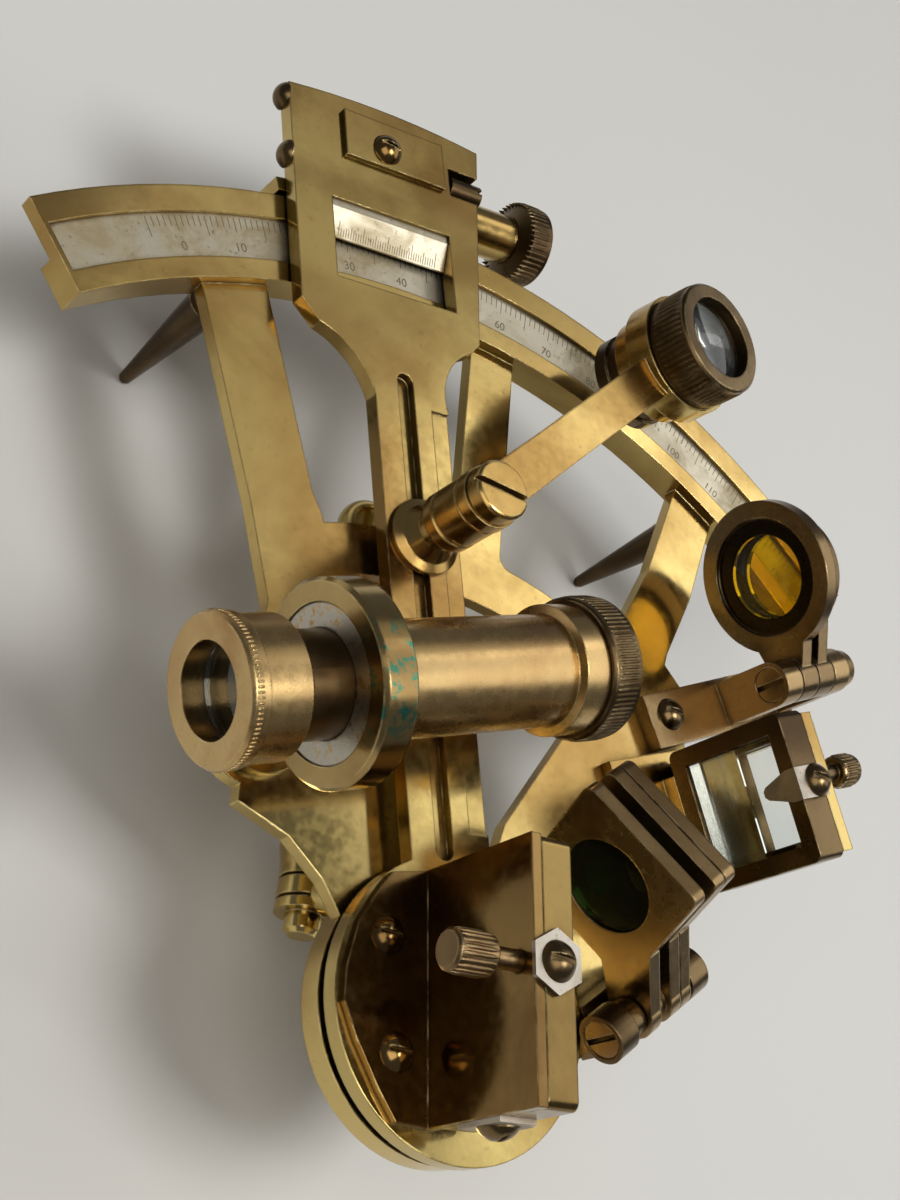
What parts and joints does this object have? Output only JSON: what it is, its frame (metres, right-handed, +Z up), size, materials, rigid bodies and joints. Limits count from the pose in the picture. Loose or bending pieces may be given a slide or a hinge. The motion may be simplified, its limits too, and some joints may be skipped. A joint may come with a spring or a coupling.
{
  "type": "small marine sextant",
  "caption": "Small brass sextant standing on its feet: framed limb with silver scale, swinging index arm, tangent screw, magnifier, telescope, mirrors and folding shades.",
  "frame": {"origin": "on the index arm's pivot axis, in the plane of the three feet", "axes": "+Z up; +Y from the pivot through the middle of the limb; +X to the right, the side of the horizon mirror"},
  "size_m": [0.1144, 0.1163, 0.0466],
  "materials": {
    "worn_brass": "worn, partly polished",
    "dark_brass": "tarnished",
    "silver": "matt, stained",
    "nickel": "bright",
    "green_glass": "polished",
    "yellow_glass": "polished",
    "clear_glass": "polished",
    "mirror": "silvered"
  },
  "bodies": {
    "stand": {"frame": "worn_brass", "silver_scale": "silver", "foot_left": "dark_brass", "foot_right": "dark_brass", "foot_rear": "dark_brass", "handle_grip": "worn_brass", "handle_posts": "worn_brass", "telescope_post": "worn_brass", "pivot_washer": "dark_brass", "horizon_mirror_bracket": "worn_brass", "horizon_mirror_tray": "worn_brass", "horizon_mirror": "clear_glass", "horizon_silvering": "mirror", "horizon_mirror_clip": "nickel", "horizon_screws": "dark_brass", "horizon_shade_bracket": "dark_brass", "horizon_shade_pin": "dark_brass", "index_shade_bracket": "dark_brass", "index_shade_pin": "dark_brass"},
    "index": {"index_arm": "worn_brass", "vernier_scale": "silver", "cover_plate": "worn_brass", "arm_screws": "dark_brass", "tangent_block": "worn_brass", "notch_screw": "dark_brass", "side_screws": "dark_brass", "index_mirror_bracket": "worn_brass", "index_mirror_tray": "worn_brass", "index_mirror": "mirror", "index_mirror_clips": "nickel", "index_clip_screws": "worn_brass", "magnifier_post": "worn_brass", "magnifier_screw": "worn_brass", "pivot_axle": "worn_brass", "pivot_nut": "dark_brass"},
    "clamp": {"limb_clamp": "worn_brass"},
    "clamp_knob": {"clamp_screw": "dark_brass"},
    "tangent_knob": {"tangent_screw": "dark_brass"},
    "magnifier": {"magnifier_arm": "worn_brass"},
    "magnifier_focus": {"magnifier_cell": "dark_brass", "magnifier_lens": "clear_glass"},
    "telescope": {"telescope_ring": "worn_brass", "telescope_tube": "worn_brass", "objective_cell": "dark_brass", "objective_lens": "clear_glass"},
    "eyepiece": {"draw_tube": "worn_brass", "eyepiece_cup": "worn_brass", "eyepiece_lens": "clear_glass"},
    "horizon_leaf_1": {"horizon_shade_1": "dark_brass", "horizon_glass_1": "yellow_glass"},
    "horizon_leaf_2": {"horizon_shade_2": "dark_brass", "horizon_glass_2": "yellow_glass"},
    "index_leaf_1": {"index_shade_1": "dark_brass", "index_glass_1": "green_glass"},
    "index_leaf_2": {"index_shade_2": "dark_brass", "index_glass_2": "green_glass"},
    "index_leaf_3": {"index_shade_3": "dark_brass", "index_glass_3": "green_glass"},
    "index_adjuster": {"index_adjuster": "dark_brass"},
    "horizon_adjuster": {"horizon_adjuster": "dark_brass"}
  },
  "joints": [
    {"name": "index_arm_swing", "type": "hinge", "parent": "stand", "child": "index", "pos_m": [0, 0, 0.02525], "axis": [0, 0, 1], "range_deg": [-11, 18.5]},
    {"name": "tangent_screw_turn", "type": "hinge", "parent": "index", "child": "tangent_knob", "pos_m": [-0.01826, 0.09221, 0.022], "axis": [0.981, 0.1942, 0], "range_deg": [-1081, 1081]},
    {"name": "clamp_slide", "type": "slide", "parent": "index", "child": "clamp", "axis": [0.981, 0.1942, 0], "range_m": [-0.0015, 0.0015]},
    {"name": "clamp_screw_turn", "type": "hinge", "parent": "clamp", "child": "clamp_knob", "pos_m": [-0.01847, 0.08401, 0.018], "axis": [0, 0, 1], "range_deg": [-180, 0]},
    {"name": "magnifier_swing", "type": "hinge", "parent": "index", "child": "magnifier", "pos_m": [-0.00938, 0.04738, 0.037], "axis": [0, 0, 1], "range_deg": [0, 70]},
    {"name": "magnifier_focus_slide", "type": "slide", "parent": "magnifier", "child": "magnifier_focus", "axis": [0.1197, 0.0105, 0.9928], "range_m": [0, 0.0018]},
    {"name": "telescope_swivel", "type": "hinge", "parent": "stand", "child": "telescope", "pos_m": [-0.02403, 0.02224, 0.025], "axis": [0, 0, 1], "range_deg": [-5, 6]},
    {"name": "eyepiece_draw", "type": "slide", "parent": "telescope", "child": "eyepiece", "axis": [0.9272, 0.3746, 0], "range_m": [-0.003, 0.0045]},
    {"name": "horizon_shade_1_fold", "type": "hinge", "parent": "stand", "child": "horizon_leaf_1", "pos_m": [0.0358, 0.044, 0.033], "axis": [0.8829, 0.4695, 0], "range_deg": [0, 156]},
    {"name": "horizon_shade_2_fold", "type": "hinge", "parent": "stand", "child": "horizon_leaf_2", "pos_m": [0.0358, 0.044, 0.033], "axis": [0.8829, 0.4695, 0], "range_deg": [0, 156]},
    {"name": "index_shade_1_fold", "type": "hinge", "parent": "stand", "child": "index_leaf_1", "pos_m": [0.0178, 0.0025, 0.0308], "axis": [0.7547, 0.6561, 0], "range_deg": [0, 140]},
    {"name": "index_shade_2_fold", "type": "hinge", "parent": "stand", "child": "index_leaf_2", "pos_m": [0.0178, 0.0025, 0.0308], "axis": [0.7547, 0.6561, 0], "range_deg": [0, 140]},
    {"name": "index_shade_3_fold", "type": "hinge", "parent": "stand", "child": "index_leaf_3", "pos_m": [0.0178, 0.0025, 0.0308], "axis": [0.7547, 0.6561, 0], "range_deg": [0, 140]},
    {"name": "index_adjuster_turn", "type": "hinge", "parent": "index", "child": "index_adjuster", "pos_m": [-0.0001, 0.001, 0.0411], "axis": [0.9954, 0.0958, 0], "range_deg": [-90, 90]},
    {"name": "horizon_adjuster_turn", "type": "hinge", "parent": "stand", "child": "horizon_adjuster", "pos_m": [0.03047, 0.02839, 0.0416], "axis": [0.9135, 0.4067, 0], "range_deg": [-90, 90]}
  ],
  "couplings": [
    {"joint": "tangent_screw_turn", "follows": "clamp_slide", "rad_per_m": -12566}
  ]
}
